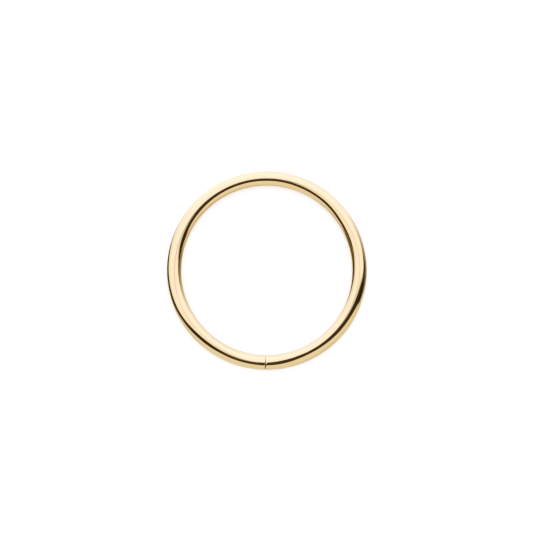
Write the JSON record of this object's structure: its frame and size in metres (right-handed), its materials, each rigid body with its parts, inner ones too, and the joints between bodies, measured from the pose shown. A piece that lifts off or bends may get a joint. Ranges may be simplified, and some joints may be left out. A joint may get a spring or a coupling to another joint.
{
  "type": "seamless piercing hoop",
  "caption": "Thin hoop of round polished gold wire whose cut ends meet flush in a hairline seam. It is twisted open to pass through a piercing, then pressed shut.",
  "frame": {"origin": "centre of the hoop, on the surface that it lies on", "axes": "+Z along the hoop's axis, up from the surface; -Y from the centre to the seam; +Y to the middle of the wire opposite the seam"},
  "size_m": [0.014, 0.014, 0.001],
  "materials": {
    "polished_gold": "polished"
  },
  "bodies": {
    "root": {"hoop_wire": "polished_gold"}
  },
  "joints": []
}
